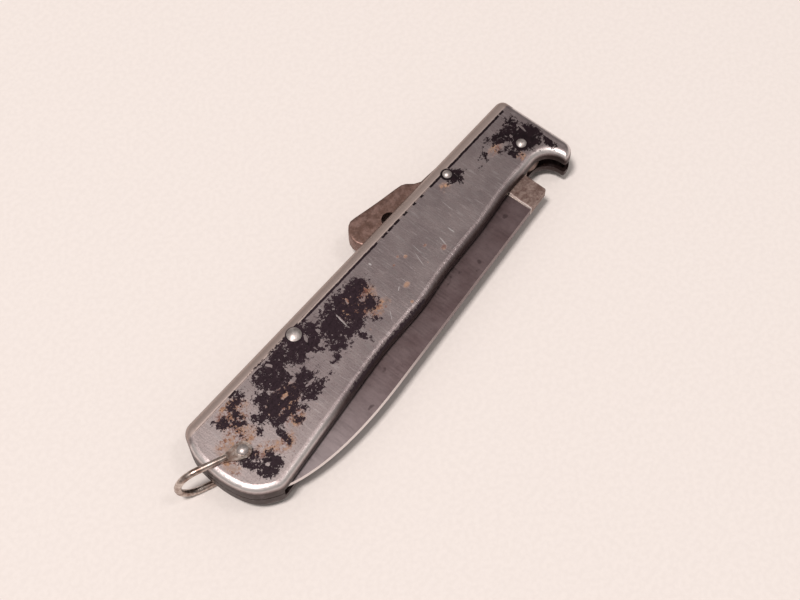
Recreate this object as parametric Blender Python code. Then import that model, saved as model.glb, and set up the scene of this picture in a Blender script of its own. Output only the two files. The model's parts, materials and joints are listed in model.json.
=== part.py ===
"""Folding pocket knife with a lever lock, a folded sheet-steel handle and a wire bail.

The knife lies flat and closed.  X runs along the handle from the tail to the head,
Y from the belly (where the blade folds in) to the spine, Z is up.
Every length below is in millimetres; MM turns it into metres.

Places on the knife are written as (along, across): along is measured from the tail end
of the handle towards the head, across from the outside of the spine towards the belly.
"""

import math

import bmesh
import bpy
from mathutils import Matrix, Vector

MM = 0.001

# ---------------------------------------------------------------- driving dimensions

# where the middle of the whole knife's box falls, in (along, across)
MIDDLE_ALONG = 51.504
MIDDLE_ACROSS = 10.661

# handle shell: one folded sheet
HANDLE_THICK = 8.8
SHEET = 0.9
RIM_ROUND = 1.7          # rolled rim along belly, head and tail
SPINE_ROUND = 2.4        # bend along the spine
HANDLE_FOOT = 1.42       # height of the handle's lower face over the table
MID_Z = HANDLE_FOOT + HANDLE_THICK / 2
FACE_IN = HANDLE_THICK / 2 - SHEET          # inner face of each side, from mid height
FACE_OUT = HANDLE_THICK / 2                 # outer face of each side, from mid height

BLADE_SLOT = 3.0         # opening between the rims on the belly and the head
TAIL_SEAM = 0.3          # the two rims nearly meet round the tail
SLOT_TAIL_END = 7.2      # the blade slot stops here, measured from the tail
SPINE_END = 106.7        # the fold stops here: the open blade's square corner meets it
LEVER_SLOT_START = 58.4
LEVER_SLOT_END = 98.0
LEVER_SLOT_WIDTH = 5.3
CREASE_ACROSS = 2.95     # pressed line beside the spine bend
CREASE_WIDTH = 0.45
CREASE_DEPTH = 0.2
CREASE_START = 4.6
CREASE_END = 107.0

# pins and rivets: (along, across)
BLADE_PIN = (102.5, 11.6)
LEVER_PIN = (85.3, 3.8)
SPRING_RIVET = (33.6, 3.75)
TAIL_RIVET = (7.4, 13.1)
GAP = 0.15               # clearance between neighbouring pieces

BLADE_PIN_BARREL = 1.6
BLADE_PIN_TENON = 0.8
BLADE_PIN_HEAD = 1.2
LEVER_PIN_BARREL = 1.3
LEVER_PIN_TENON = 0.7
LEVER_PIN_HEAD = 1.08
SPRING_RIVET_SHANK = 1.0
SPRING_RIVET_HEAD = 1.65
TAIL_RIVET_SHANK = 0.8
TAIL_RIVET_HEAD = 1.2
DOME = 0.5               # height of the domed rivet heads
BLADE_WASHER = 2.75
LEVER_WASHER = 1.95
SPRING_SLEEVE = 1.6
TAIL_SLEEVE = 1.9

# blade
BLADE_THICK = 2.4
GROUND_SPINE_THICK = 2.1  # thickness left at the back once the sides are ground
TIP_SPINE_THICK = 1.3
EDGE_THICK = 0.24
TANG_RADIUS = 6.0         # round cam that the lever's nose rides on
NOTCH_RADIUS = 4.6        # floor of the lock notch

# lock lever
LEVER_THICK = 4.8
LEVER_HOLE = (69.0, 0.6)
LEVER_HOLE_RADIUS = 1.9

# leaf spring
LEAF_THICK = 0.8
LEAF_WIDTH = 4.6

# bail
BAIL_WIRE = 1.3
BAIL_PLATE = 0.6
BAIL_EYE = 1.9
BAIL_REACH = 15.6         # from the rivet to the outside of the loop
BAIL_ANGLE = 23.5         # turned this far from straight back towards the spine
BAIL_NECK = [(1.5, 1.65), (3.0, 1.15), (4.4, 0.78), (5.2, 0.5)]  # from eye to wire


# ---------------------------------------------------------------- general helpers

def place(along, across, height=0.0):
    """Point in metres from a place on the handle and a height from its mid plane."""
    return Vector((
        (along - MIDDLE_ALONG) * MM,
        (MIDDLE_ACROSS - across) * MM,
        (MID_Z + height) * MM,
    ))


def clear_scene():
    """Take away whatever the new scene came with."""
    for thing in list(bpy.data.objects):
        bpy.data.objects.remove(thing, do_unlink=True)


def metal(name, colour, metallic, roughness):
    """Principled material of one colour."""
    material = bpy.data.materials.new(name)
    material.use_nodes = True
    shader = material.node_tree.nodes["Principled BSDF"]
    shader.inputs["Base Color"].default_value = (*colour, 1.0)
    shader.inputs["Metallic"].default_value = metallic
    shader.inputs["Roughness"].default_value = roughness
    material.diffuse_color = (*colour, 1.0)
    return material


def solid(name, bm, material=None):
    """Object from a bmesh, with its faces turned outwards."""
    bmesh.ops.recalc_face_normals(bm, faces=bm.faces)
    mesh = bpy.data.meshes.new(name)
    bm.to_mesh(mesh)
    bm.free()
    thing = bpy.data.objects.new(name, mesh)
    bpy.context.scene.collection.objects.link(thing)
    if material:
        mesh.materials.append(material)
    return thing


def boolean(thing, other, operation):
    """Cut, join or keep the common part, then drop the other solid."""
    modifier = thing.modifiers.new(operation.lower(), "BOOLEAN")
    modifier.operation = operation
    modifier.solver = "EXACT"
    modifier.object = other
    bpy.context.view_layer.objects.active = thing
    bpy.ops.object.modifier_apply(modifier=modifier.name)
    bpy.data.objects.remove(other, do_unlink=True)


def set_origin(thing, point):
    """Move the object's origin without moving its mesh."""
    thing.data.transform(Matrix.Translation(-point))
    thing.location = point


def smooth(thing, degrees=35):
    """Shade round surfaces smooth and keep the creases."""
    bpy.ops.object.select_all(action="DESELECT")
    thing.select_set(True)
    bpy.context.view_layer.objects.active = thing
    bpy.ops.object.shade_smooth_by_angle(angle=math.radians(degrees))


def bridge_rings(bm, rings):
    """Skin a stack of closed rings and cap both ends."""
    count = len(rings[0])
    for lower, upper in zip(rings, rings[1:]):
        for i in range(count):
            j = (i + 1) % count
            bm.faces.new((lower[i], lower[j], upper[j], upper[i]))
    bm.faces.new(list(reversed(rings[0])))
    bm.faces.new(rings[-1])


def prism(name, outline, low, high):
    """Straight-sided solid over an outline of (along, across) points."""
    bm = bmesh.new()
    rings = []
    for height in (low, high):
        rings.append([bm.verts.new(place(a, c, height)) for a, c in outline])
    bridge_rings(bm, rings)
    return solid(name, bm)


def turned(name, where, profile, segments=32):
    """Solid turned about a vertical line, from (radius, height) points."""
    bm = bmesh.new()
    rings = []
    for radius, height in profile:
        ring = []
        for i in range(segments):
            turn = 2 * math.pi * i / segments
            ring.append(bm.verts.new(place(
                where[0] + radius * math.cos(turn),
                where[1] + radius * math.sin(turn),
                height,
            )))
        rings.append(ring)
    bridge_rings(bm, rings)
    return solid(name, bm)


def ring_solid(name, where, inner, outer, low, high, segments=32):
    """Washer or sleeve."""
    body = turned(name, where, [(outer, low), (outer, high)], segments)
    hole = turned("hole", where, [(inner, low - 1), (inner, high + 1)], segments)
    boolean(body, hole, "DIFFERENCE")
    return body


def chamfer_edges(thing, width, segments=1, degrees=50):
    """Round or break the sharp edges of a solid."""
    modifier = thing.modifiers.new("edge", "BEVEL")
    modifier.width = width * MM
    modifier.segments = segments
    modifier.limit_method = "ANGLE"
    modifier.angle_limit = math.radians(degrees)
    bpy.context.view_layer.objects.active = thing
    bpy.ops.object.modifier_apply(modifier=modifier.name)


# ---------------------------------------------------------------- outlines

def moved_corners(corners, insets):
    """Corners of a polygon after each edge has moved inwards by its own inset.

    Comes back as one (corner, way in, way out, bend, mean inset) for each corner.
    """
    spots = [Vector((c[0], -c[1])) for c in corners]
    count = len(spots)
    ways = [(spots[(i + 1) % count] - spots[i]).normalized() for i in range(count)]
    moved = []
    for i in range(count):
        in_dir = ways[i - 1]
        out_dir = ways[i]
        in_side = Vector((-in_dir.y, in_dir.x))
        out_side = Vector((-out_dir.y, out_dir.x))
        in_move = insets[i - 1]
        out_move = insets[i]
        bend = math.atan2(in_dir.cross(out_dir), in_dir.dot(out_dir))
        if abs(bend) > 0.15:
            scale = in_side.cross(out_side)
            shift = Vector((
                (in_move * out_side.y - out_move * in_side.y) / scale,
                (out_move * in_side.x - in_move * out_side.x) / scale,
            ))
        else:
            mean_move = (in_move + out_move) / 2
            shift = (in_side + out_side) * mean_move / (1 + in_side.dot(out_side))
        moved.append((spots[i] + shift, in_dir, out_dir, bend, (in_move + out_move) / 2))
    return moved


def rounded_outline(corners, insets):
    """Polygon with rounded corners, moved inwards edge by edge.

    corners holds (along, across, radius, steps) anticlockwise seen from above.
    insets holds the inward move of the edge that leaves each corner.
    Each point comes back as (along, across, corner, part), where part goes from 0 on
    the edge before the corner to 1 on the edge after it.
    """
    moved = moved_corners(corners, insets)
    count = len(corners)
    reaches = []
    for (spot, in_dir, out_dir, bend, inset), corner in zip(moved, corners):
        radius = max(corner[2] - math.copysign(inset, bend), 0.06)
        reaches.append(radius * math.tan(abs(bend) / 2))
    # two roundings that share an edge must both fit on it
    fits = []
    for i in range(count):
        fit = 1.0
        for j, k in ((i - 1, i), (i, (i + 1) % count)):
            length = (moved[k][0] - moved[j][0]).length
            fit = min(fit, 0.97 * length / (reaches[j] + reaches[k]))
        fits.append(fit)

    points = []
    for i, (spot, in_dir, out_dir, bend, inset) in enumerate(moved):
        reach = reaches[i] * fits[i]
        radius = reach / math.tan(abs(bend) / 2)
        in_side = Vector((-in_dir.y, in_dir.x)) * math.copysign(1, bend)
        centre = spot - in_dir * reach + in_side * radius
        spoke = -in_side * radius
        steps = corners[i][3]
        for k in range(steps + 1):
            turn = bend * k / steps
            point = centre + Vector((
                spoke.x * math.cos(turn) - spoke.y * math.sin(turn),
                spoke.x * math.sin(turn) + spoke.y * math.cos(turn),
            ))
            points.append((point.x, -point.y, i, k / steps))
    return points


# handle outline, anticlockwise seen from above: (along, across, corner radius, steps)
HANDLE_CORNERS = [
    (6.9, 24.5, 3.6, 6),       # tail meets belly
    (43.0, 20.4, 70.0, 3),     # belly
    (57.0, 20.1, 45.0, 4),
    (66.5, 18.7, 50.0, 4),
    (80.0, 17.9, 60.0, 4),
    (92.0, 16.4, 60.0, 4),
    (105.4, 16.2, 4.4, 10),    # hollow behind the finger guard
    (105.8, 21.9, 0.8, 5),     # tip of the finger guard
    (110.0, 22.2, 5.2, 9),     # round outside of the finger guard
    (109.8, 0.0, 2.0, 6),      # head meets spine
    (3.2, 0.0, 3.4, 6),        # spine meets tail
    (0.0, 6.0, 12.0, 4),
    (-0.05, 15.0, 22.0, 4),
    (1.9, 21.2, 9.0, 4),
]
SPINE_EDGE = 9               # the edge that leaves the head corner runs down the spine


def edge_rounds(less=0.0):
    """Rounding of each edge of the handle, made smaller for the inside."""
    rounds = [RIM_ROUND - less] * len(HANDLE_CORNERS)
    rounds[SPINE_EDGE] = SPINE_ROUND - less
    return rounds


def cushion(name, inset, half_height, rounds, steps):
    """Flat solid over the handle's outline with rolled rims above and below."""
    levels = []
    for k in range(steps + 1):
        levels.append((-1, math.pi / 2 * (1 - k / steps)))
    for k in range(steps + 1):
        levels.append((1, math.pi / 2 * k / steps))
    bm = bmesh.new()
    rings = []
    for side, lean in levels:
        insets = [inset + r * (1 - math.cos(lean)) for r in rounds]
        ring = []
        for along, across, corner, part in rounded_outline(HANDLE_CORNERS, insets):
            r = rounds[corner - 1] * (1 - part) + rounds[corner] * part
            height = half_height - r + r * math.sin(lean)
            ring.append(bm.verts.new(place(along, across, side * height)))
        rings.append(ring)
    bridge_rings(bm, rings)
    return solid(name, bm)


# ---------------------------------------------------------------- the pieces

def make_handle_shell(material):
    """One sheet folded at the spine, its rims rolled in; open along belly and head."""
    shell = cushion("handle_shell", 0.0, FACE_OUT, edge_rounds(), 5)
    hollow = cushion("hollow", SHEET, FACE_IN, edge_rounds(SHEET), 4)
    boolean(shell, hollow, "DIFFERENCE")

    half_slot = BLADE_SLOT / 2
    blade_slot = prism("blade_slot", [
        (SLOT_TAIL_END, 30.0), (SLOT_TAIL_END, 12.0), (100.0, 12.0), (104.0, 1.05),
        (SPINE_END, 1.05), (SPINE_END, -2.0), (116.0, -2.0), (116.0, 30.0),
    ], -half_slot, half_slot)
    boolean(shell, blade_slot, "DIFFERENCE")

    half_seam = TAIL_SEAM / 2
    seam = prism("seam", [
        (-5.0, 3.2), (5.0, 3.2), (SLOT_TAIL_END + 1, 14.0),
        (SLOT_TAIL_END + 1, 30.0), (-5.0, 30.0),
    ], -half_seam, half_seam)
    boolean(shell, seam, "DIFFERENCE")

    half_lever = LEVER_SLOT_WIDTH / 2
    lever_slot = prism("lever_slot", [
        (LEVER_SLOT_START, -2.0), (LEVER_SLOT_END, -2.0),
        (LEVER_SLOT_END, 3.0), (LEVER_SLOT_START, 3.0),
    ], -half_lever, half_lever)
    boolean(shell, lever_slot, "DIFFERENCE")

    for side in (-1, 1):
        outer = side * (FACE_OUT + 0.5)
        floor = side * (FACE_OUT - CREASE_DEPTH)
        low_edge = CREASE_ACROSS - CREASE_WIDTH / 2
        high_edge = CREASE_ACROSS + CREASE_WIDTH / 2
        crease = prism("crease", [
            (CREASE_START, low_edge), (CREASE_END, low_edge),
            (CREASE_END, high_edge), (CREASE_START, high_edge),
        ], min(outer, floor), max(outer, floor))
        boolean(shell, crease, "DIFFERENCE")

    for where, radius in (
        (BLADE_PIN, BLADE_PIN_TENON),
        (LEVER_PIN, LEVER_PIN_TENON),
        (SPRING_RIVET, SPRING_RIVET_SHANK),
        (TAIL_RIVET, TAIL_RIVET_SHANK),
    ):
        hole = turned("hole", where, [(radius + 0.1, -8), (radius + 0.1, 8)], 24)
        boolean(shell, hole, "DIFFERENCE")
    shell.data.materials.clear()
    shell.data.materials.append(material)
    return shell


def dome(radius, height, foot, steps=4):
    """Profile of a domed head, from its rim to near its crown."""
    ball = (radius * radius + height * height) / (2 * height)
    wide = math.asin(radius / ball)
    points = []
    for k in range(steps + 1):
        lean = wide * (1 - 0.92 * k / steps)
        points.append((ball * math.sin(lean), foot + ball * math.cos(lean) - ball + height))
    return points


def headed_pin(name, where, barrel, tenon, head, head_foot, head_height, material):
    """Shouldered pin: barrel between the sides, thin ends spread into domed heads."""
    half_barrel = FACE_IN - GAP
    upper = []
    if barrel > tenon:
        upper.append((barrel, half_barrel))
        upper.append((tenon, half_barrel))
    upper.append((tenon, head_foot))
    upper.append((head, head_foot))
    upper.extend(dome(head, head_height, head_foot + 0.12))
    profile = [(r, -z) for r, z in reversed(upper)] + upper
    pin = turned(name, where, profile, 28)
    pin.data.materials.append(material)
    return pin


def make_blade(material):
    """Blade with its tang: flat ground sides, square ricasso, round cam and lock notch."""
    half = BLADE_THICK / 2
    pin_a, pin_c = BLADE_PIN

    def on_tang(radius, degrees):
        """Place on the tang, by angle from the head direction towards the belly."""
        turn = math.radians(degrees)
        return (pin_a + radius * math.cos(turn), pin_c + radius * math.sin(turn))

    cam = [on_tang(TANG_RADIUS, a) for a in range(-148, 51, 6)]
    floor = [on_tang(NOTCH_RADIUS, a) for a in range(57, 124, 7)]
    plunge = []
    for k in range(9):
        part = k / 8
        bow = 0.45 * (1 - (2 * part - 1) ** 2)
        plunge.append((91.6 + bow, 22.85 - part * (22.85 - 8.9)))
    tang_outline = (
        cam + floor
        + [(98.1, 16.6), (98.1, 22.1), (97.8, 22.4)]
        + plunge
        + [(90.4, 8.1), (90.6, 7.4), (92.0, 7.35), (94.6, 8.9)]
    )
    blade = prism("blade", tang_outline, -half, half)

    # ground part: stations from inside the ricasso to the point
    bm = bmesh.new()
    rings = []
    for along, back, edge in blade_stations():
        thin = 0.5 * blade_back_thickness(along)
        sharp = EDGE_THICK / 2 * min(1.0, thin / 0.5)
        rings.append([
            bm.verts.new(place(along, back, -thin)),
            bm.verts.new(place(along, edge, -sharp)),
            bm.verts.new(place(along, edge, sharp)),
            bm.verts.new(place(along, back, thin)),
        ])
    bridge_rings(bm, rings)
    ground = solid("ground", bm)
    boolean(blade, ground, "UNION")

    pivot = turned("pivot_hole", BLADE_PIN,
                   [(BLADE_PIN_BARREL + GAP, -4), (BLADE_PIN_BARREL + GAP, 4)], 36)
    boolean(blade, pivot, "DIFFERENCE")
    blade.data.materials.clear()
    blade.data.materials.append(material)
    set_origin(blade, place(*BLADE_PIN))
    return blade


def blade_back_thickness(along):
    """Thickness along the back of the ground part, thinning towards the point."""
    part = max(0.0, min(1.0, (60.0 - along) / 55.0))
    return GROUND_SPINE_THICK + (TIP_SPINE_THICK - GROUND_SPINE_THICK) * part ** 1.5


def blade_stations():
    """(along, back, edge) of the ground part, from the ricasso to the point."""
    back_curve_start = 40.0
    point = (4.3, 19.6)
    stations = []
    count = 34
    for k in range(count + 1):
        part = k / count
        along = 92.3 + (point[0] + 0.15 - 92.3) * (1 - (1 - part) ** 1.6)
        if along > back_curve_start:
            back = 22.75 + 0.0795 * (92.3 - along)
        else:
            line = 22.75 + 0.0795 * (92.3 - along)
            drop = (back_curve_start - along) / (back_curve_start - point[0])
            fall = 0.59 * drop ** 2 + 0.22 * drop ** 5 + 0.19 * drop ** 24
            back = line - (line - point[1]) * fall
        rise = max(0.0, min(1.0, (36.0 - along) / (36.0 - point[0])))
        edge = 9.3 + 0.6 * (92.3 - along) / 56.0 + (point[1] - 10.25) * rise ** 2.6
        if edge > back - 0.25:
            edge = back - 0.25
        stations.append((along, back, edge))
    return stations


def make_lock_lever(material):
    """Rocking lever: thumb tab outside the spine, nose over the tang."""
    outline = [
        # thumb tab, from the tail end round its top towards the pin
        (60.9, 2.1), (60.3, 0.4), (59.9, -1.2), (59.9, -2.6), (60.3, -3.8),
        (61.1, -4.8), (62.1, -5.6), (63.2, -6.0), (64.4, -5.85), (68.4, -5.0),
        (72.0, -4.3), (76.0, -3.65), (77.6, -3.3), (78.6, -2.7), (79.8, -1.3),
        (81.2, -0.45), (83.5, -0.35), (87.0, -0.1), (90.0, 0.5), (95.5, 1.1),
        (97.0, 1.5), (98.0, 3.0),
        # nose, under the spine at the head
        (106.2, 3.0), (106.5, 3.3), (106.5, 4.9), (106.1, 5.3), (100.7, 5.3),
        (100.2, 4.9), (100.0, 4.3), (95.0, 4.3),
        # underside, round the pin and back to the tail end
        (92.0, 5.9), (89.0, 6.7), (85.5, 6.95), (82.5, 6.5), (79.5, 5.2),
        (73.0, 4.7), (67.0, 4.5), (66.0, 4.2), (65.2, 2.6), (64.6, 2.3),
    ]
    half = LEVER_THICK / 2
    lever = prism("lock_lever", outline, -half, half)
    chamfer_edges(lever, 0.4, 2, 60)
    for where, radius, segments in (
        (LEVER_HOLE, LEVER_HOLE_RADIUS, 28),
        (LEVER_PIN, LEVER_PIN_BARREL + GAP, 32),
    ):
        hole = turned("hole", where, [(radius, -5), (radius, 5)], segments)
        boolean(lever, hole, "DIFFERENCE")
    lever.data.materials.clear()
    lever.data.materials.append(material)
    set_origin(lever, place(*LEVER_PIN))
    return lever


def make_leaf_spring(material):
    """Flat spring held between spine and sleeve, its free end under the thumb tab."""
    path = [
        (23.0, 1.1), (40.0, 1.1), (48.0, 1.2), (52.0, 1.4),
        (56.0, 1.85), (59.5, 2.25), (62.0, 2.5), (64.3, 2.55),
    ]
    outer = []
    inner = []
    for i, (along, across) in enumerate(path):
        first = path[max(i - 1, 0)]
        last = path[min(i + 1, len(path) - 1)]
        way = Vector((last[0] - first[0], last[1] - first[1])).normalized()
        outer.append((along, across))
        inner.append((along - way.y * LEAF_THICK, across + way.x * LEAF_THICK))
    half = LEAF_WIDTH / 2
    spring = prism("leaf_spring", inner + list(reversed(outer)), -half, half)
    spring.data.materials.append(material)
    return spring


def make_bail(material):
    """Bent wire with a flattened eye on each side of the handle."""
    plate_low = FACE_OUT + 0.1
    plate_high = plate_low + BAIL_PLATE
    turn = math.radians(BAIL_ANGLE)
    back = Vector((-math.cos(turn), -math.sin(turn)))
    side = Vector((back.y, -back.x))

    def spot(reach, sideways=0.0):
        """Place at a distance from the rivet along the bail."""
        return (
            TAIL_RIVET[0] + back.x * reach + side.x * sideways,
            TAIL_RIVET[1] + back.y * reach + side.y * sideways,
        )

    # wire centre line in the upright plane through the rivet: (reach, height)
    leg_height = plate_low + BAIL_WIRE / 2 + 0.02
    bend = leg_height * 0.98
    bend_centre = BAIL_REACH - BAIL_WIRE / 2 - bend * 0.95
    line = [(3.6, leg_height), (6.0, leg_height)]
    steps = 14
    for k in range(steps + 1):
        lean = math.pi / 2 - math.pi * k / steps
        line.append((bend_centre + bend * 0.95 * math.cos(lean), leg_height * math.sin(lean)))
    line += [(6.0, -leg_height), (3.6, -leg_height)]

    bm = bmesh.new()
    rings = []
    sides = 14
    for i, (reach, height) in enumerate(line):
        first = line[max(i - 1, 0)]
        last = line[min(i + 1, len(line) - 1)]
        way = Vector((last[0] - first[0], last[1] - first[1])).normalized()
        ring = []
        for k in range(sides):
            roll = 2 * math.pi * k / sides
            out = BAIL_WIRE / 2 * math.cos(roll)
            across = BAIL_WIRE / 2 * math.sin(roll)
            along_c = reach - way.y * out
            height_c = height + way.x * out
            a, c = spot(along_c, across)
            ring.append(bm.verts.new(place(a, c, height_c)))
        rings.append(ring)
    bridge_rings(bm, rings)
    bail = solid("bail", bm)

    for sign in (-1, 1):
        outline = []
        for k in range(17):
            swing = math.pi * (k / 16 - 0.5)
            outline.append(spot(-BAIL_EYE * math.cos(swing), BAIL_EYE * math.sin(swing)))
        outline += [spot(reach, wide) for reach, wide in BAIL_NECK]
        outline += [spot(reach, -wide) for reach, wide in reversed(BAIL_NECK)]
        low, high = sorted((sign * plate_low, sign * plate_high))
        eye = prism("eye", outline, low, high)
        boolean(bail, eye, "UNION")
    bore = TAIL_RIVET_SHANK + 0.1
    hole = turned("hole", TAIL_RIVET, [(bore, -9), (bore, 9)], 24)
    boolean(bail, hole, "DIFFERENCE")
    bail.data.materials.clear()
    bail.data.materials.append(material)
    set_origin(bail, place(*TAIL_RIVET))
    return bail


def build():
    """Make every piece of the knife."""
    clear_scene()
    shell_steel = metal("worn_enamelled_sheet_steel", (0.19, 0.16, 0.16), 0.8, 0.5)
    blade_steel = metal("carbon_blade_steel", (0.21, 0.17, 0.17), 0.9, 0.38)
    lever_steel = metal("browned_lever_steel", (0.17, 0.12, 0.11), 0.85, 0.5)
    rivet_steel = metal("rivet_steel", (0.35, 0.32, 0.31), 0.95, 0.32)
    inner_steel = metal("plain_inner_steel", (0.28, 0.27, 0.26), 0.95, 0.4)
    spring_steel = metal("blue_spring_steel", (0.10, 0.10, 0.12), 0.95, 0.35)
    bail_steel = metal("nickelled_bail_wire", (0.30, 0.27, 0.24), 0.95, 0.28)

    pieces = [make_handle_shell(shell_steel), make_blade(blade_steel)]
    head_foot = FACE_OUT + 0.08
    pieces.append(headed_pin("blade_pin", BLADE_PIN, BLADE_PIN_BARREL, BLADE_PIN_TENON,
                             BLADE_PIN_HEAD, head_foot, DOME, rivet_steel))
    pieces.append(headed_pin("lever_pin", LEVER_PIN, LEVER_PIN_BARREL, LEVER_PIN_TENON,
                             LEVER_PIN_HEAD, head_foot, DOME, rivet_steel))
    pieces.append(headed_pin("spring_rivet", SPRING_RIVET, SPRING_RIVET_SHANK,
                             SPRING_RIVET_SHANK, SPRING_RIVET_HEAD, head_foot, DOME, rivet_steel))
    tail_foot = FACE_OUT + 0.1 + BAIL_PLATE + 0.08
    pieces.append(headed_pin("tail_rivet", TAIL_RIVET, TAIL_RIVET_SHANK, TAIL_RIVET_SHANK,
                             TAIL_RIVET_HEAD, tail_foot, DOME, rivet_steel))

    for name, sign in (("upper", 1), ("lower", -1)):
        low, high = sorted((sign * (BLADE_THICK / 2 + GAP), sign * (FACE_IN - GAP)))
        washer = ring_solid("blade_washer_" + name, BLADE_PIN, BLADE_PIN_BARREL + GAP,
                            BLADE_WASHER, low, high, 36)
        washer.data.materials.append(inner_steel)
        pieces.append(washer)
        low, high = sorted((sign * (LEVER_THICK / 2 + GAP), sign * (FACE_IN - GAP)))
        washer = ring_solid("lever_washer_" + name, LEVER_PIN, LEVER_PIN_BARREL + GAP,
                            LEVER_WASHER, low, high, 32)
        washer.data.materials.append(inner_steel)
        pieces.append(washer)

    reach = FACE_IN - GAP
    sleeve = ring_solid("spring_sleeve", SPRING_RIVET, SPRING_RIVET_SHANK + GAP,
                        SPRING_SLEEVE, -reach, reach, 28)
    sleeve.data.materials.append(inner_steel)
    pieces.append(sleeve)
    sleeve = ring_solid("tail_sleeve", TAIL_RIVET, TAIL_RIVET_SHANK + GAP,
                        TAIL_SLEEVE, -reach, reach, 28)
    sleeve.data.materials.append(inner_steel)
    pieces.append(sleeve)

    pieces.append(make_lock_lever(lever_steel))
    pieces.append(make_leaf_spring(spring_steel))
    pieces.append(make_bail(bail_steel))
    for piece in pieces:
        smooth(piece)


build()
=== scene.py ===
# %% [markdown]
# # An old lever-lock pocket knife
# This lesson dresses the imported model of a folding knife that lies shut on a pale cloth.
# The handle is one folded sheet of steel that was once enamelled black.  Most of the
# enamel has worn off, so bare scratched steel, the last black patches and small rust
# spots all show at once, and the materials below are built around that.

# %% Load the frame
import json
import math

import bmesh
import bpy
import numpy as np
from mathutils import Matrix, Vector


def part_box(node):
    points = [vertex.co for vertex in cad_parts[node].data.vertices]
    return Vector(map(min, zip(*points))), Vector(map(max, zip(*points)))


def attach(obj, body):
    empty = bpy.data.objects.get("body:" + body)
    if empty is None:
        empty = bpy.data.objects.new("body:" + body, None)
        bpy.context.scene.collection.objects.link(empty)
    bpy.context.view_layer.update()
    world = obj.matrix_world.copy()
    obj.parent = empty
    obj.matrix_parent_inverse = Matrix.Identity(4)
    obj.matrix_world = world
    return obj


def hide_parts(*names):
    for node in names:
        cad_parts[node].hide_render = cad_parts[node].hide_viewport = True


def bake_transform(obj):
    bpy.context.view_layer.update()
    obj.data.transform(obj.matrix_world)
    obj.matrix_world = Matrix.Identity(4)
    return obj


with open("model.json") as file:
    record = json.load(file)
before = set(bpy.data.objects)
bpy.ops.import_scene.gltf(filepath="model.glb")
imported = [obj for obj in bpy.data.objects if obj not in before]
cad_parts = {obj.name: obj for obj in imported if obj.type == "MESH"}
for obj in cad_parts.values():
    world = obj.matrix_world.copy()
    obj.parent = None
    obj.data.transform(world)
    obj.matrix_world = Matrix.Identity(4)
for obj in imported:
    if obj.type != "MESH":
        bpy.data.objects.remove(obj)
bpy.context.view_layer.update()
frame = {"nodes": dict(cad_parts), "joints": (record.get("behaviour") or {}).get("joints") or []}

MM = 0.001
cad_nodes = frame["nodes"]
print("frame loaded:", len(cad_nodes), "pieces")

# %% [markdown]
# ## Places on the knife
# A maker measures this knife from two edges: along it from the tail end of the handle,
# and across it from the outside of the spine.  The pivot of the blade is 102.5 mm along
# and 11.6 mm across, and its joint says where that is in the frame.  That ties the two
# ways of measuring together, so every patch and scratch below is a plain ruler reading.

# %% Rulers
joints = {joint["name"]: joint for joint in frame["joints"]}
pivot_x, pivot_y, mid_height = joints["blade_pivot"]["pos_m"]
TAIL_X = pivot_x / MM - 102.5            # where "along" starts, in mm
SPINE_Y = pivot_y / MM + 11.6            # where "across" starts, in mm
FACE_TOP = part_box("handle_shell")[1][2] / MM
print("tail end at x =", round(TAIL_X, 2), "mm, upper face at", round(FACE_TOP, 2), "mm")

# %% [markdown]
# ## Small helpers
# Colours are written as sRGB hex, the way a paint chart gives them, and one function
# turns them to the linear values that a shader works in.  One more function adds a node
# with its settings and its links, so that each material reads as a list of steps.

# %% Colour and node helpers
def colour(code):
    """Linear RGBA from an sRGB hex code."""
    parts = [int(code[i:i + 2], 16) / 255 for i in (0, 2, 4)]
    linear = [p / 12.92 if p <= 0.04045 else ((p + 0.055) / 1.055) ** 2.4 for p in parts]
    return (*linear, 1.0)


def add(tree, kind, links=None, **settings):
    """Add a node; settings go on the node, links fill its inputs by name or number."""
    node = tree.nodes.new(kind)
    for name, value in settings.items():
        setattr(node, name, value)
    for key, value in (links or {}).items():
        socket = node.inputs[key]
        if isinstance(value, bpy.types.NodeSocket):
            tree.links.new(value, socket)
        else:
            socket.default_value = value
    return node


def new_material(name):
    """Empty material, its tree, and its shader already joined to the output."""
    material = bpy.data.materials.new(name)
    material.use_nodes = True
    tree = material.node_tree
    tree.nodes.clear()
    shader = add(tree, "ShaderNodeBsdfPrincipled")
    add(tree, "ShaderNodeOutputMaterial", {"Surface": shader.outputs[0]})
    return material, tree, shader


# %% [markdown]
# Every pattern starts from the ruler readings: a Mapping node turns Object coordinates
# into millimetres along and across, so a noise scale of 1 means one feature per mm.

# %% Pattern helpers
def ruler(tree):
    """Millimetres along, across and up, from Object coordinates."""
    where = add(tree, "ShaderNodeTexCoord").outputs["Object"]
    return add(tree, "ShaderNodeMapping", {
        "Vector": where,
        "Location": (-TAIL_X, SPINE_Y, 0),
        "Scale": (1 / MM, -1 / MM, 1 / MM),
    }).outputs[0]


def noise(tree, where, per_mm, detail=4.0, rough=0.6, stretch=(1, 1, 1), shift=(0, 0, 0)):
    """Noise of so many features per mm, squeezed or drawn out by stretch."""
    moved = add(tree, "ShaderNodeMapping", {
        "Vector": where, "Location": shift, "Scale": stretch,
    }).outputs[0]
    return add(tree, "ShaderNodeTexNoise", {
        "Vector": moved, "Scale": per_mm, "Detail": detail, "Roughness": rough,
    }).outputs["Fac"]


def math_step(tree, operation, first, second=0.0, third=0.0, clamp=False):
    """One step of arithmetic."""
    return add(tree, "ShaderNodeMath", {0: first, 1: second, 2: third},
               operation=operation, use_clamp=clamp).outputs[0]


def ramp(tree, value, low, high, out_low=0.0, out_high=1.0):
    """Soft step between two values."""
    return add(tree, "ShaderNodeMapRange", {
        "Value": value, "From Min": low, "From Max": high,
        "To Min": out_low, "To Max": out_high,
    }, interpolation_type="SMOOTHSTEP").outputs[0]


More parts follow.
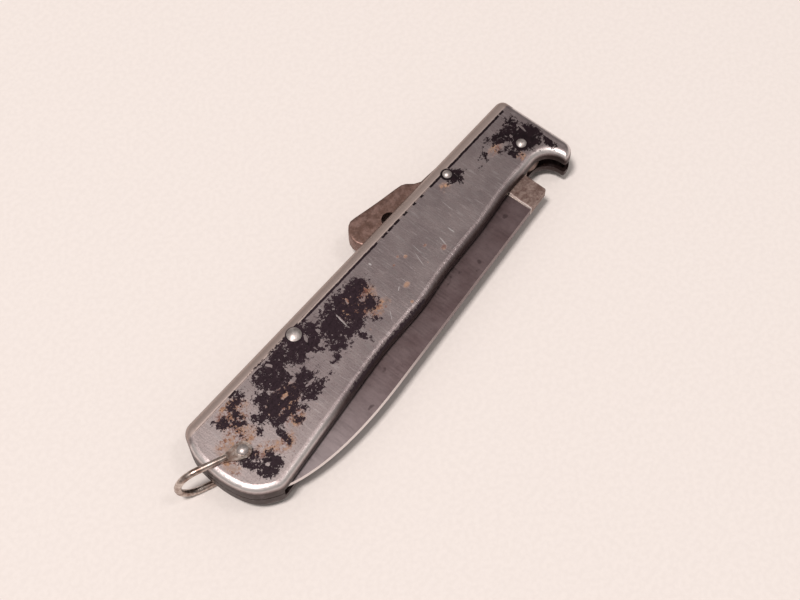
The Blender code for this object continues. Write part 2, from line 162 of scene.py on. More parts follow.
def blend_colour(tree, amount, under, over):
    """Lay one colour over another."""
    return add(tree, "ShaderNodeMix", {0: amount, 6: under, 7: over},
               data_type="RGBA").outputs[2]


def blend_value(tree, amount, under, over):
    """Lay one number over another."""
    return add(tree, "ShaderNodeMix", {0: amount, 2: under, 3: over}).outputs[0]


def bump(tree, height, depth_mm, base=None):
    """Relief of a real depth, from a height between 0 and 1."""
    links = {"Height": height, "Strength": 1.0, "Distance": depth_mm * MM}
    if base is not None:
        links["Normal"] = base
    return add(tree, "ShaderNodeBump", links).outputs[0]


# %% [markdown]
# A patch of enamel has a place and a size that a ruler gives, and a ragged edge that a
# noise gives.  Each patch is an ellipse.  The large ones are worked out once for every
# corner of the handle's mesh and kept there as an attribute.  The small chips and
# scratches are finer than that mesh, so the shader works them out: the Mapping node, set
# to Texture, carries their middle, half sizes and turn, and the length of what comes out
# is 1 on the rim.

# %% Patches
def nearest_patch(tree, where, patches):
    """How far a point lies from its nearest patch: under 1 inside, over 1 outside."""
    field = None
    for along, across, half_along, half_across, turn in patches:
        local = add(tree, "ShaderNodeMapping", {
            "Vector": where,
            "Location": (along, across, 0),
            "Rotation": (0, 0, math.radians(turn)),
            "Scale": (half_along, half_across, 1000.0),
        }, vector_type="TEXTURE").outputs[0]
        reach = add(tree, "ShaderNodeVectorMath", {0: local}, operation="LENGTH").outputs["Value"]
        field = reach if field is None else math_step(tree, "MINIMUM", field, reach)
    return field


# %% [markdown]
# ## Finish of the handle
# Sheet steel, blanked and folded, then stoved with black enamel.  Handling rubs enamel
# off the flats and leaves it where fingers don't reach: round the rivets, in the pressed
# line beside the spine and along the inner edge of the rims.  Bare carbon steel goes a
# warm grey, and rusts first where the enamel's edge holds moisture.

# %% Where the enamel is left, in mm along and across
HANDLE_LENGTH = 110.0
FAR = 9.0                # mm; what a place far from every patch is given
INSIDE = 6.0             # mm; what corners below the outer faces are given
DEEPEST = 3.0            # mm; the middle of a large patch counts as no deeper than this
CREASE_ACROSS = 2.98     # middle of the pressed line
# every patch below is: along, across, half length, half width, turn in degrees
ENAMEL_PATCHES = [
    # middle of the handle, round the spring rivet
    (45.0, 7.4, 7.2, 3.2, 0), (50.8, 6.4, 2.6, 1.9, 12), (41.2, 9.6, 4.2, 4.4, 0),
    (42.8, 14.4, 0.9, 2.4, 0), (33.2, 6.4, 5.6, 3.8, 0), (28.0, 5.2, 2.6, 2.6, 0),
    (23.6, 6.7, 3.9, 4.3, 0), (22.2, 3.6, 1.3, 0.9, 0), (24.6, 12.0, 5.6, 2.4, 0),
    (26.6, 15.3, 3.6, 1.5, 0), (37.2, 12.6, 1.7, 1.6, 30), (35.4, 14.3, 1.6, 0.6, 0),
    (49.6, 11.4, 2.0, 1.6, 0), (18.4, 8.6, 2.2, 1.9, 0), (17.2, 12.8, 2.2, 1.1, 0),
    (47.4, 14.2, 1.0, 0.7, 40), (22.4, 16.2, 0.8, 1.0, 0), (31.4, 15.4, 0.9, 0.4, 0),
    (19.6, 11.4, 4.6, 2.2, 10), (19.8, 17.6, 0.8, 1.2, 0), (33.8, 2.3, 2.6, 1.0, 0),
    (30.4, 2.0, 0.5, 0.3, 0), (44.6, 13.4, 0.8, 0.6, 0), (38.6, 13.8, 1.4, 1.0, 0),
    (44.5, 11.4, 2.8, 2.2, 0), (47.6, 10.4, 1.6, 1.6, 0), (34.6, 9.0, 2.0, 1.8, 0),
    (14.8, 11.0, 2.0, 1.5, 0), (17.6, 14.6, 2.0, 1.2, 0), (20.6, 14.6, 2.2, 1.5, 0),
    (12.8, 4.6, 1.2, 0.8, 0),
    # tail
    (15.0, 5.0, 1.8, 1.0, 0), (9.4, 5.8, 1.5, 1.6, 20), (11.9, 8.8, 1.4, 0.7, 20),
    (9.5, 10.6, 0.7, 0.8, 0), (15.1, 17.3, 0.8, 2.2, 8), (8.7, 19.2, 3.0, 2.6, 0),
    (5.9, 15.6, 0.9, 2.4, -12), (8.2, 15.2, 1.3, 1.6, 0), (14.0, 9.6, 1.0, 0.7, 0),
    (12.3, 6.9, 0.9, 1.5, 0), (10.6, 8.0, 1.5, 0.9, 0), (12.4, 13.0, 0.7, 0.5, 0),
    (8.1, 4.3, 0.9, 0.35, 0), (16.0, 3.1, 1.0, 0.3, 0),
    # head and lever pin
    (104.6, 11.4, 3.9, 3.6, 10), (100.6, 6.8, 2.3, 1.6, 10), (105.6, 6.4, 1.2, 1.6, 0),
    (103.2, 8.2, 2.2, 2.2, 0), (106.8, 16.4, 0.8, 2.4, 0), (99.4, 11.4, 1.1, 1.7, 0),
    (86.2, 5.6, 1.9, 1.3, 0), (86.0, 7.4, 0.5, 0.4, 0), (91.2, 8.2, 0.45, 0.25, 0),
    (94.6, 6.9, 0.9, 1.0, 0), (98.0, 5.2, 1.5, 0.5, 0), (97.8, 8.8, 0.6, 0.5, 0),
]
BARE_CHIPS = [
    (8.5, 18.9, 0.4, 0.45, 0), (34.6, 6.2, 0.35, 1.0, 30), (32.2, 9.4, 0.9, 0.7, 20),
    (24.9, 4.4, 0.35, 0.8, -30), (26.6, 8.9, 0.3, 1.5, 0), (21.8, 11.6, 0.9, 0.5, 0),
    (25.4, 10.5, 1.2, 0.45, 0), (37.6, 7.0, 0.4, 0.5, 0), (30.2, 11.4, 0.9, 0.9, 0),
    (42.6, 9.4, 0.2, 2.0, 8), (46.8, 7.2, 0.3, 0.8, 30), (35.4, 9.6, 0.4, 0.5, 0),
    (27.4, 13.6, 1.4, 0.25, 0), (102.6, 8.6, 0.3, 0.5, 20), (106.0, 9.2, 0.25, 1.2, 10),
]
CREASE_ENAMEL = [          # from, to, in mm along the pressed line
    (13.9, 15.9), (38.6, 61.6), (63.2, 65.0), (65.6, 67.0), (67.6, 69.2),
    (70.7, 72.0), (74.2, 74.9), (76.9, 77.5), (80.0, 85.3), (86.4, 105.2), (105.5, 106.8),
]
BELLY_ENAMEL = [(31.0, 58.0)]
RUST_PATCHES = [
    (12.0, 6.0, 3.6, 3.0, 0), (8.0, 10.6, 4.6, 2.6, 10), (3.4, 13.6, 1.2, 2.4, 0),
    (11.0, 16.6, 3.0, 1.6, 20), (19.6, 16.4, 2.2, 1.8, 0), (21.0, 12.0, 4.2, 2.6, 0),
    (14.4, 18.6, 2.4, 1.6, 0), (48.0, 9.0, 4.6, 3.4, 0), (50.0, 13.6, 2.6, 1.4, 0),
    (99.8, 13.8, 1.0, 1.2, 0), (82.4, 5.6, 1.0, 1.1, 0), (97.4, 8.0, 2.0, 1.0, 0),
]
RUST_SPOTS = [
    (70.3, 14.9, 0.9, 0.7, 0), (68.0, 11.4, 0.5, 0.4, 0), (63.2, 9.9, 0.6, 0.5, 0),
    (58.0, 14.5, 1.0, 0.7, 0), (47.3, 6.8, 0.5, 1.1, 20), (55.6, 18.0, 0.5, 0.4, 0),
    (62.0, 8.6, 0.4, 0.4, 0), (59.9, 9.4, 0.4, 0.3, 0),
]
SCRATCHES = [
    (71.4, 13.7, 0.12, 1.0, 12), (74.7, 13.4, 0.12, 0.8, 0), (64.6, 12.6, 0.05, 1.8, 20),
    (56.2, 13.8, 0.1, 0.5, 60), (79.0, 9.0, 0.04, 1.6, 3), (66.2, 10.6, 0.05, 1.2, 8),
    (56.8, 5.2, 0.2, 0.35, 0), (42.5, 9.2, 0.08, 2.0, 8), (50.2, 16.6, 0.05, 1.2, 40),
]


def rivet_rings():
    """A patch round each rivet head that shows, a little wider than the head."""
    rings = []
    for pin in ("blade_pin", "lever_pin", "spring_rivet", "tail_rivet"):
        low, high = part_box(pin)
        along = (low[0] + high[0]) / 2 / MM - TAIL_X
        across = SPINE_Y - (low[1] + high[1]) / 2 / MM
        radius = (high[0] - low[0]) / 2 / MM + 0.3
        rings.append((along, across, radius, radius, 0))
    return rings


def patch_field(along, across, patches):
    """How far outside its nearest patch each place lies, in mm; negative inside."""
    field = np.full(along.shape, FAR)
    for middle_along, middle_across, half_along, half_across, turn in patches:
        lean = math.radians(turn)
        a = along - middle_along
        c = across - middle_across
        u = (a * math.cos(lean) + c * math.sin(lean)) / half_along
        v = (c * math.cos(lean) - a * math.sin(lean)) / half_across
        size = min(math.sqrt(half_along * half_across), DEEPEST)
        field = np.minimum(field, (np.hypot(u, v) - 1.0) * size)
    return field


def stretches(tree, along, spans):
    """1 on each stretch of a line and 0 between, as a ramp of sharp steps."""
    ramp_node = add(tree, "ShaderNodeValToRGB", {
        "Fac": math_step(tree, "DIVIDE", along, HANDLE_LENGTH),
    })
    steps = ramp_node.color_ramp
    steps.interpolation = "CONSTANT"
    steps.elements[0].color = (0, 0, 0, 1)
    steps.elements[1].position = spans[0][0] / HANDLE_LENGTH
    steps.elements[1].color = (1, 1, 1, 1)
    for i, (start, end) in enumerate(spans):
        if i:
            steps.elements.new(start / HANDLE_LENGTH).color = (1, 1, 1, 1)
        steps.elements.new(end / HANDLE_LENGTH).color = (0, 0, 0, 1)
    return ramp_node.outputs["Color"]


print(len(ENAMEL_PATCHES), "patches of enamel")

# %% [markdown]
# The bare steel comes first: a warm grey metal with a faint cloud of tarnish, fine rub
# marks across the handle, and a few bright scratches.  The rub marks are really about
# 0.02 mm wide; they are drawn 0.2 mm wide so that they show.

# %% Worn enamel on sheet steel
def handle_finish():
    """Bare steel, rust and the last of the enamel, each laid over the one before."""
    material, tree, shader = new_material("worn_black_enamel_on_sheet_steel")
    where = ruler(tree)
    parts = add(tree, "ShaderNodeSeparateXYZ", {0: where}).outputs
    along, across, up = parts[0], parts[1], parts[2]

    # bare steel
    cloud = noise(tree, where, 0.16, 3, 0.6)
    grain = noise(tree, where, 3.0, 3, 0.7)
    rubs = noise(tree, where, 0.9, 5, 0.65, stretch=(4.6, 0.22, 1))
    slant = noise(tree, where, 0.8, 4, 0.6, stretch=(3.0, 0.35, 1), shift=(9, 4, 0))
    steel = blend_colour(tree, ramp(tree, cloud, 0.35, 0.65), colour("97898A"), colour("A89A9A"))
    # painted sheen: the bare steel is made lighter towards the tail, where the lamp's reflection
    # falls
    painted_tail_sheen = ramp(tree, along, 30, 8, 0, 0.6)
    steel = blend_colour(tree, painted_tail_sheen, steel, colour("C4B6B4"))
    steel = blend_colour(tree, ramp(tree, grain, 0.46, 0.74, 0, 0.6), steel, colour("665A5A"))
    steel = blend_colour(tree, ramp(tree, rubs, 0.48, 0.74, 0, 0.6), steel, colour("C4BBBB"))
    steel = blend_colour(tree, ramp(tree, slant, 0.52, 0.72, 0, 0.5), steel, colour("C4BBBB"))
    scratched = ramp(tree, nearest_patch(tree, where, SCRATCHES), 1.5, 0.7, 0, 0.8)
    steel = blend_colour(tree, scratched, steel, colour("E4DEDE"))
    near_spine = ramp(tree, across, 3.0, 2.5)
    steel = blend_colour(tree, math_step(tree, "MULTIPLY", near_spine, 0.8),
                         steel, colour("C6B4AC"))
    polish = blend_value(tree, ramp(tree, rubs, 0.4, 0.7), 0.42, 0.3)
    polish = blend_value(tree, ramp(tree, grain, 0.45, 0.7), polish, 0.5)
    polish = blend_value(tree, near_spine, polish, 0.55)

    # painted highlight: near white on the rolled rim's slope just below the flat, at both ends of
    # the handle
    painted_rim_highlight = ramp(tree, up, FACE_TOP - 0.03, FACE_TOP - 0.25)
    painted_rim_highlight = math_step(tree, "MULTIPLY", painted_rim_highlight, ramp(tree, up, FACE_TOP - 1.1, FACE_TOP - 0.6))
    painted_rim_highlight = math_step(tree, "MULTIPLY", painted_rim_highlight, ramp(tree, across, 3.4, 4.4, 0, 0.9))
    ends = math_step(tree, "ABSOLUTE", math_step(tree, "SUBTRACT", along, 60.0))
    painted_rim_highlight = math_step(tree, "MULTIPLY", painted_rim_highlight, ramp(tree, ends, 28, 44, 0.0, 1.0))
    steel = blend_colour(tree, painted_rim_highlight, steel, colour("F0E8E6"))

    # painted shade with brown patina on the rims' outer sides, which face away from the lamp and
    # are out of reach of the hand's rubbing; lighter beside the spine
    side_shade_and_patina = ramp(tree, up, FACE_TOP - 0.7, FACE_TOP - 1.7)
    dark_side_edge = noise(tree, where, 0.8, 4, 0.6)
    shade_and_patina_tone = blend_colour(tree, ramp(tree, across, 1.6, 0.4), colour("2A1815"), colour("655A55"))
    # painted shade: the belly rim's slope in the middle of the handle, beside the blade, is
    # darkened too
    belly_rim_shade = ramp(tree, up, FACE_TOP - 0.15, FACE_TOP - 0.8)
    belly_rim_shade = math_step(tree, "MULTIPLY", belly_rim_shade, ramp(tree, ends, 42, 30, 0, 0.85))
    belly_rim_shade = math_step(tree, "MULTIPLY", belly_rim_shade, math_step(tree, "GREATER_THAN", across, 8.0))
    side_shade_and_patina = math_step(tree, "MAXIMUM", side_shade_and_patina, belly_rim_shade)
    side_shade_and_patina = math_step(tree, "MULTIPLY", side_shade_and_patina, ramp(tree, dark_side_edge, 0.25, 0.5, 0.85, 1.0))
    steel = blend_colour(tree, math_step(tree, "MULTIPLY", side_shade_and_patina, 0.95), steel, shade_and_patina_tone)
    polish = blend_value(tree, side_shade_and_patina, polish, 0.45)

    # rust
    ragged = noise(tree, where, 0.6, 6, 0.74)
    fine = noise(tree, where, 1.7, 5, 0.7, shift=(3, 7, 1))
    rust_field = add(tree, "ShaderNodeAttribute", attribute_name="rust_distance").outputs["Fac"]
    rust_near = ramp(tree, rust_field, 0.8, -0.6)
    veil = math_step(tree, "MULTIPLY", rust_near, ramp(tree, ragged, 0.42, 0.6, 0, 0.6))
    steel = blend_colour(tree, veil, steel, colour("A0806F"))
    blot = noise(tree, where, 0.85, 5, 0.74, shift=(6, 1, 9))
    rust_amount = math_step(tree, "MULTIPLY", rust_near, ramp(tree, blot, 0.49, 0.58))
    spot_field = nearest_patch(tree, where, RUST_SPOTS)
    spots = ramp(tree, math_step(tree, "ADD", spot_field, fine), 1.6, 1.0, 0, 0.75)
    rust_amount = math_step(tree, "MAXIMUM", rust_amount, spots)
    specks = ramp(tree, noise(tree, where, 0.9, 2, 0.5, shift=(30, 5, 2)), 0.74, 0.8, 0, 0.5)
    rust_amount = math_step(tree, "MAXIMUM", rust_amount, specks)
    rust_tone = blend_colour(tree, ramp(tree, ragged, 0.4, 0.62),
                             colour("6E4438"), colour("B48E72"))

    # enamel: how far outside the nearest patch a point is, in mm, made ragged by noise
    field = add(tree, "ShaderNodeAttribute", attribute_name="enamel_distance").outputs["Fac"]
    wobble = math_step(tree, "MULTIPLY_ADD", ragged, -6.4, 3.2)
    fine_wobble = math_step(tree, "MULTIPLY_ADD", fine, -4.4, 2.2)
    depth = math_step(tree, "ADD", field, math_step(tree, "ADD", wobble, fine_wobble))
    enamel = ramp(tree, depth, 0.05, -0.05)
    chips = nearest_patch(tree, where, BARE_CHIPS)
    chips = math_step(tree, "ADD", chips, math_step(tree, "MULTIPLY", fine_wobble, 0.5))
    chipped = ramp(tree, chips, 1.1, 0.9)
    pinholes = ramp(tree, noise(tree, where, 0.95, 5, 0.78, shift=(11, 2, 5)), 0.6, 0.63)
    pinholes = math_step(tree, "MULTIPLY", pinholes, ramp(tree, along, 60, 50, 0.35, 0.92))
    chipped = math_step(tree, "MAXIMUM", chipped, pinholes)
    enamel = math_step(tree, "MULTIPLY", enamel, math_step(tree, "SUBTRACT", 1.0, chipped))
    off_line = math_step(tree, "ABSOLUTE", math_step(tree, "SUBTRACT", across, CREASE_ACROSS))
    in_line = ramp(tree, math_step(tree, "MULTIPLY_ADD", fine_wobble, 0.12, off_line), 0.34, 0.24)
    in_line = math_step(tree, "MULTIPLY", in_line, stretches(tree, along, CREASE_ENAMEL))
    enamel = math_step(tree, "MAXIMUM", enamel, in_line)
    on_rim = math_step(tree, "ABSOLUTE", math_step(tree, "SUBTRACT", up, FACE_TOP - 0.75))
    on_rim = ramp(tree, math_step(tree, "MULTIPLY_ADD", fine_wobble, 0.5, on_rim), 0.5, 0.3)
    on_rim = math_step(tree, "MULTIPLY", on_rim, math_step(tree, "GREATER_THAN", across, 12.0))
    on_rim = math_step(tree, "MULTIPLY", on_rim, stretches(tree, along, BELLY_ENAMEL))
    enamel = math_step(tree, "MAXIMUM", enamel, on_rim)

    # a thin dark ring round each rivet head: old enamel, and painted contact shade where the head
    # meets the sheet
    enamel_and_shade_ring = ramp(tree, nearest_patch(tree, where, rivet_rings()), 1.06, 0.94)
    enamel = math_step(tree, "MAXIMUM", enamel, enamel_and_shade_ring)

    # rust sits at the enamel's edge as well
    rim_of_enamel = ramp(tree, depth, 1.3, 0.1)
    rust_amount = math_step(tree, "MAXIMUM", rust_amount,
                            math_step(tree, "MULTIPLY", rim_of_enamel,
                                      math_step(tree, "MULTIPLY", rust_near,
                                                ramp(tree, grain, 0.4, 0.55))))
    base = blend_colour(tree, rust_amount, steel, rust_tone)
    black = blend_colour(tree, ramp(tree, ragged, 0.3, 0.7), colour("0E0509"), colour("22141A"))
    dusty = ramp(tree, fine, 0.35, 0.6, 0.25, 0.9)
    dusty = math_step(tree, "MULTIPLY", ramp(tree, along, 70, 50), dusty)
    black = blend_colour(tree, dusty, black, colour("32242B"))
    base = blend_colour(tree, enamel, base, black)
    covered = math_step(tree, "MAXIMUM", enamel, rust_amount)
    tree.links.new(base, shader.inputs["Base Color"])
    tree.links.new(math_step(tree, "SUBTRACT", 1.0, covered), shader.inputs["Metallic"])
    rough = blend_value(tree, rust_amount, polish, 0.85)
    rough = blend_value(tree, enamel, rough, 0.32)
    tree.links.new(rough, shader.inputs["Roughness"])
    tree.links.new(blend_value(tree, enamel, 0.5, 0.2), shader.inputs["Specular IOR Level"])
    wear = math_step(tree, "MULTIPLY_ADD", rubs, 0.6, math_step(tree, "MULTIPLY", grain, 0.8))
    tree.links.new(bump(tree, wear, 0.03), shader.inputs["Normal"])
    return material


handle_material = handle_finish()
print("handle finish:", len(handle_material.node_tree.nodes), "nodes")

# %% [markdown]
# ## Finish of the blade
# Carbon steel, flat ground from the plunge line down to the edge and dulled by years
# of use to a brown grey.  The square ricasso was never polished and is rough.  The bright
# line where the grinding starts and the eased back near the point are painted highlights,
# and the steel is made lighter towards the point as a painted sheen.

# %% Dulled carbon steel
PLUNGE = 91.9            # mm along, where the grinding of the shut blade starts


def blade_finish():
    """Ground sides, rough ricasso, painted highlights on the plunge line and the back."""
    material, tree, shader = new_material("dulled_carbon_blade_steel")
    where = ruler(tree)
    parts = add(tree, "ShaderNodeSeparateXYZ", {0: where}).outputs
    along = parts[0]
    cloud = noise(tree, where, 0.14, 4, 0.6)
    grain = noise(tree, where, 2.2, 4, 0.7)
    grind = noise(tree, where, 1.0, 3, 0.6, stretch=(3.5, 0.25, 1))
    base = blend_colour(tree, ramp(tree, cloud, 0.35, 0.65), colour("7A6768"), colour("8A7879"))
    base = blend_colour(tree, ramp(tree, grain, 0.55, 0.8, 0, 0.6), base, colour("4C3F40"))
    # painted sheen: the blade is made lighter towards the point
    base = blend_colour(tree, ramp(tree, along, 48, 4, 0, 0.85), base, colour("B9ADAF"))
    spots = ramp(tree, noise(tree, where, 0.35, 2, 0.4, shift=(5, 2, 0)), 0.7, 0.76, 0, 0.6)
    base = blend_colour(tree, spots, base, colour("4A3D3E"))
    ricasso = ramp(tree, along, PLUNGE, PLUNGE + 0.5)
    pits = noise(tree, where, 0.7, 5, 0.75)
    rough_brown = blend_colour(tree, ramp(tree, pits, 0.35, 0.7),
                               colour("776059"), colour("A8948C"))
    base = blend_colour(tree, ricasso, base, rough_brown)
    # painted highlight: a bright line where the grinding starts
    line = math_step(tree, "ABSOLUTE", math_step(tree, "SUBTRACT", along, PLUNGE))
    line = ramp(tree, line, 0.3, 0.08)
    base = blend_colour(tree, line, base, colour("D8CCC6"))
    # painted highlight: near white on the eased back near the point
    facing = add(tree, "ShaderNodeNewGeometry").outputs["Normal"]
    lean = math_step(tree, "ABSOLUTE", add(tree, "ShaderNodeSeparateXYZ", {0: facing}).outputs[2])
    back = math_step(tree, "MULTIPLY", ramp(tree, lean, 0.93, 0.8), ramp(tree, along, 60, 30))
    base = blend_colour(tree, back, base, colour("ECE4E2"))
    rough = blend_value(tree, ramp(tree, grind, 0.4, 0.7), 0.45, 0.36)
    rough = blend_value(tree, ricasso, rough, 0.55)
    tree.links.new(base, shader.inputs["Base Color"])
    shader.inputs["Metallic"].default_value = 1.0
    tree.links.new(rough, shader.inputs["Roughness"])
    relief = bump(tree, grain, 0.015)
    relief = bump(tree, math_step(tree, "MULTIPLY", pits, ricasso), 0.12, relief)
    tree.links.new(relief, shader.inputs["Normal"])
    return material


blade_material = blade_finish()

# %% [markdown]
# ## Finish of the lever, rivets and bail
# The lever is a thick forging that was never polished, so it is browner and rougher
# than the sheet beside it.  The rivet heads and the bail are rubbed bright by the pocket.
# The dark ring round each rivet head is in the handle's finish: old enamel and painted shade.

# %% Browned and rubbed steels
def plain_steel(name, light, dark, smooth, coarse, grain_mm, depth_mm):
    """Steel with a light and a dark tone and a grain of a real size."""
    material, tree, shader = new_material(name)
    where = ruler(tree)
    cloud = noise(tree, where, 0.45 / grain_mm, 5, 0.7)
    grain = noise(tree, where, 1.0 / grain_mm, 4, 0.65, shift=(4, 2, 6))
    base = blend_colour(tree, ramp(tree, cloud, 0.38, 0.64), colour(dark), colour(light))
    tree.links.new(base, shader.inputs["Base Color"])
    shader.inputs["Metallic"].default_value = 1.0
    tree.links.new(blend_value(tree, ramp(tree, grain, 0.35, 0.65), smooth, coarse),
                   shader.inputs["Roughness"])
    tree.links.new(bump(tree, grain, depth_mm), shader.inputs["Normal"])
    return material


lever_material = plain_steel("browned_forged_steel", "987C74", "785E55", 0.42, 0.58, 0.7, 0.03)
rivet_material = plain_steel("rubbed_rivet_steel", "D6CDCA", "AEA4A1", 0.4, 0.52, 0.5, 0.01)
bail_material = plain_steel("worn_nickel_plated_wire", "D8CCC4", "8C766C", 0.26, 0.4, 1.2, 0.005)
inner_material = plain_steel("plain_turned_steel", "A29B97", "6B6462", 0.35, 0.5, 0.5, 0.01)
spring_material = plain_steel("blued_spring_steel", "4C4E5A", "2C2C34", 0.3, 0.4, 1.5, 0.005)

# %% [markdown]
# ## The pieces
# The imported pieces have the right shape, but they come as loose triangles with flat
# shading.  Each one that shows gets a working copy: its loose corners are merged, its
# normals are shared across each round surface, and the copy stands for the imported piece.

# The handle's flat faces are a few large triangles, too coarse to carry the patches, so
# they are also cut into squares of 0.7 mm.  The flats stay flat.  The bail's wire is
# drawn 0.12 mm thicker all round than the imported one.

# %% Working copies
LOWER_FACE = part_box("handle_shell")[0][2]
SQUARE = 0.7                             # mm
EYE_REACH = 5.5                          # mm from the tail rivet; the rest is wire


def deselect_all():
    """Nothing selected and no piece active."""
    bpy.ops.object.select_all(action="DESELECT")


def on_flat(face):
    """Whether a face lies in the handle's outer upper or lower face."""
    height = face.calc_center_median().z
    is_outer = abs(height - FACE_TOP * MM) < 0.00002 or abs(height - LOWER_FACE) < 0.00002
    return is_outer and abs(face.normal.z) > 0.999


def square_up_flats(piece):
    """Cut the upper and lower faces of the piece being edited by a grid of planes."""
    bm = bmesh.from_edit_mesh(piece.data)
    flats = [face for face in bm.faces if on_flat(face)]
    part = set(flats)
    for face in flats:
        part.update(face.edges)
        part.update(face.verts)
    part = list(part)
    low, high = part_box("handle_shell")
    for axis in (0, 1):
        place = low[axis] + SQUARE * MM
        while place < high[axis]:
            where = [0.0, 0.0, 0.0]
            where[axis] = place
            facing = [0.0, 0.0, 0.0]
            facing[axis] = 1.0
            part = bmesh.ops.bisect_plane(bm, geom=part, dist=0.000001,
                                          plane_co=where, plane_no=facing)["geom"]
            place += SQUARE * MM
    bmesh.update_edit_mesh(piece.data)


def fatten_wire(piece, amount):
    """Thicken the bail's wire, but not its two eyes, which fit closely round the rivet."""
    low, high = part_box("tail_rivet")
    middle = Vector(((low[0] + high[0]) / 2, (low[1] + high[1]) / 2))
    bpy.ops.mesh.select_all(action="DESELECT")
    bm = bmesh.from_edit_mesh(piece.data)
    for corner in bm.verts:
        corner.select = (corner.co.xy - middle).length > EYE_REACH * MM
    bm.select_flush_mode()
    bmesh.update_edit_mesh(piece.data)
    bpy.ops.transform.shrink_fatten(value=amount * MM)


def working_copy(node, name, material, body, angle=32, edge=0.0, flat_sided=False,
                 fatten=0.0, bends=None):
    """Merged, smooth-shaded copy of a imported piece, with its sharp edges eased."""
    deselect_all()
    piece = cad_nodes[node].copy()
    piece.data = cad_nodes[node].data.copy()
    piece.name = name
    piece.parent = None
    for key in list(piece.keys()):
        del piece[key]
    bpy.context.scene.collection.objects.link(piece)
    piece.select_set(True)
    bpy.context.view_layer.objects.active = piece
    bpy.ops.object.mode_set(mode="EDIT")
    bpy.ops.mesh.select_all(action="SELECT")
    bpy.ops.mesh.remove_doubles(threshold=0.000002)
    bpy.ops.mesh.customdata_custom_splitnormals_clear()
    if node == "handle_shell":
        square_up_flats(piece)
    if fatten:
        fatten_wire(piece, fatten)
    bpy.ops.object.mode_set(mode="OBJECT")
    if edge:
        eased = piece.modifiers.new("eased_edges", "BEVEL")
        eased.width = edge * MM
        eased.segments = 2
        eased.limit_method = "ANGLE"
        eased.angle_limit = math.radians(50)
        bpy.ops.object.modifier_apply(modifier=eased.name)
    bpy.ops.object.shade_smooth_by_angle(angle=math.radians(angle))
    if flat_sided:
        even = piece.modifiers.new("even_normals", "WEIGHTED_NORMAL")
        even.keep_sharp = True
        bpy.ops.object.modifier_apply(modifier=even.name)
    piece.data.materials.clear()
    piece.data.materials.append(material)
    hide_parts(node)
    if bends:
        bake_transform(piece)
    else:
        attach(piece, body)
    return piece


handle = working_copy("handle_shell", "handle", handle_material, "handle_body",
                      flat_sided=True)

# %% Where the enamel is, kept at the corners
def store_field(piece, name, values):
    """Keep one number for each corner of the mesh."""
    layer = piece.data.attributes.new(name, "FLOAT", "POINT")
    layer.data.foreach_set("value", values.astype(np.float32))


points = np.zeros(len(handle.data.vertices) * 3)
handle.data.vertices.foreach_get("co", points)
points = points.reshape(-1, 3) / MM
along_mm = points[:, 0] - TAIL_X
across_mm = SPINE_Y - points[:, 1]
is_under = points[:, 2] < 5.0
# the lower side is worn in its own way: the same patches, end for end
along_mm = np.where(is_under, HANDLE_LENGTH + 1.0 - along_mm, along_mm)
outside = (points[:, 2] > FACE_TOP - 0.4) | (points[:, 2] < LOWER_FACE / MM + 0.4)
store_field(handle, "enamel_distance",
            np.where(outside, patch_field(along_mm, across_mm, ENAMEL_PATCHES), INSIDE))
store_field(handle, "rust_distance",
            np.where(outside, patch_field(along_mm, across_mm, RUST_PATCHES), INSIDE))

# %% The other pieces
working_copy("blade", "blade_body_steel", blade_material, "blade_body",
             20, 0.06, flat_sided=True)
working_copy("lock_lever", "lever", lever_material, "lever_body", 40,
             flat_sided=True)
working_copy("bail", "bail_wire", bail_material, "bail_body", 50, fatten=0.12)
for node in ("blade_pin", "lever_pin", "spring_rivet", "tail_rivet"):
    working_copy(node, node + "_rubbed", rivet_material, "handle_body", 40)
for node in cad_nodes:
    if "washer" in node or "sleeve" in node:
        working_copy(node, node + "_turned", inner_material, "handle_body", 40)

# %% [markdown]
# The leaf spring is held at its rivet and lies on the lever's tail.  Its working copy is
# baked where it lies and given no body; the held end and the free end are worked out below
# but nothing bends it.

# %% The leaf spring
CLEAR_OF_SLEEVE = 4.0                    # mm from the spring rivet to the held end
leaf_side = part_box("leaf_spring")[1][1]
held_end = (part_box("spring_rivet")[1][0] + CLEAR_OF_SLEEVE * MM, leaf_side, mid_height)
free_end = (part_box("lock_lever")[0][0], leaf_side, mid_height)
working_copy("leaf_spring", "leaf_spring_blued", spring_material, "handle_body", 30,
             bends=("lever_body", held_end, free_end))
print("leaf spring bends over", round((free_end[0] - held_end[0]) / MM, 1), "mm")

# %% [markdown]
# ## Cloth, light and camera
# The knife lies on a pale, faintly pink cloth.  A soft lamp hangs high over the tail and
# throws a short shadow past the blade.  A weak one on the other side throws a faint
# second shadow past the lever; the rest of the light is the room's.

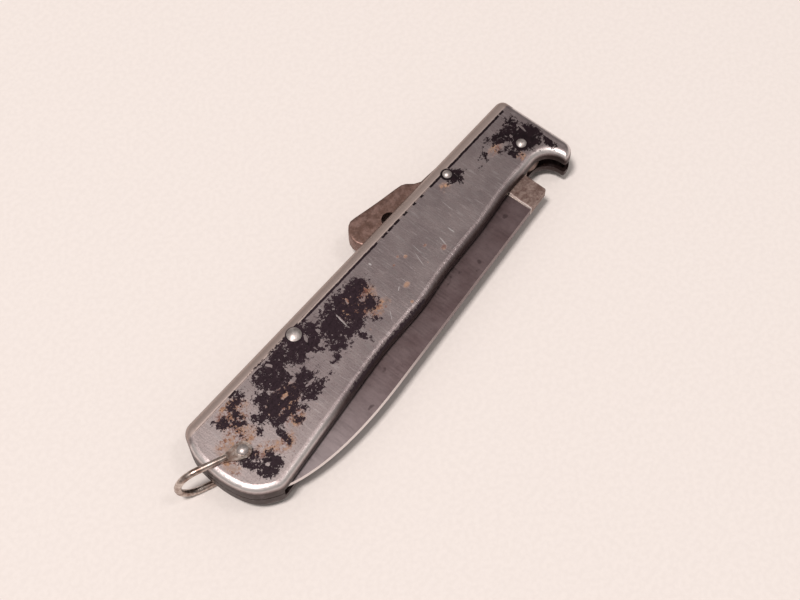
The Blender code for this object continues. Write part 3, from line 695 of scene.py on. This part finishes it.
# %% Floor
bpy.ops.mesh.primitive_plane_add(size=3.0, location=(0, 0, -0.00014))
floor = bpy.context.object
floor.name = "cloth_floor"
material, tree, shader = new_material("pale_cotton_cloth")
where = add(tree, "ShaderNodeTexCoord").outputs["Object"]
weave = add(tree, "ShaderNodeTexNoise", {
    "Vector": where, "Scale": 900.0, "Detail": 2.0,
}).outputs["Fac"]
tone = blend_colour(tree, ramp(tree, weave, 0.3, 0.7), colour("EDE5E1"), colour("F1E9E5"))
tree.links.new(tone, shader.inputs["Base Color"])
shader.inputs["Roughness"].default_value = 0.9
tree.links.new(bump(tree, weave, 0.03), shader.inputs["Normal"])
floor.data.materials.append(material)

# %% Light
world = bpy.data.worlds.new("room")
bpy.context.scene.world = world
world.use_nodes = True
room = world.node_tree.nodes["Background"]
room.inputs["Color"].default_value = (1.0, 0.94, 0.91, 1.0)
room.inputs["Strength"].default_value = 0.3


def soft_lamp(name, direction, distance, size, power):
    """Square lamp that looks at the knife from a direction."""
    data = bpy.data.lights.new(name, "AREA")
    data.shape = "SQUARE"
    data.size = size
    data.energy = power
    data.color = (1.0, 0.945, 0.91)
    lamp = bpy.data.objects.new(name, data)
    bpy.context.scene.collection.objects.link(lamp)
    way = Vector(direction).normalized()
    lamp.location = way * distance
    lamp.rotation_euler = way.to_track_quat("Z", "Y").to_euler()
    return lamp


soft_lamp("lamp_over_tail", (-0.281, 0.027, 1.0), 2.5, 0.42, 45.0)
soft_lamp("lamp_over_belly", (0.325, -0.315, 1.0), 2.5, 0.4, 5.0)

# %% Camera
camera_data = bpy.data.cameras.new("camera")
camera_data.sensor_width = 36.0
camera_data.lens = 63.0
camera = bpy.data.objects.new("camera", camera_data)
bpy.context.scene.collection.objects.link(camera)
camera.location = ((TAIL_X - 50.67) * MM, (SPINE_Y - 102.41) * MM, 0.27723)
camera.rotation_euler = (math.radians(27.0), 0.0, math.radians(-50.444))
camera_data.clip_start = 0.01
bpy.context.scene.camera = camera
bpy.context.scene.view_settings.view_transform = "Standard"
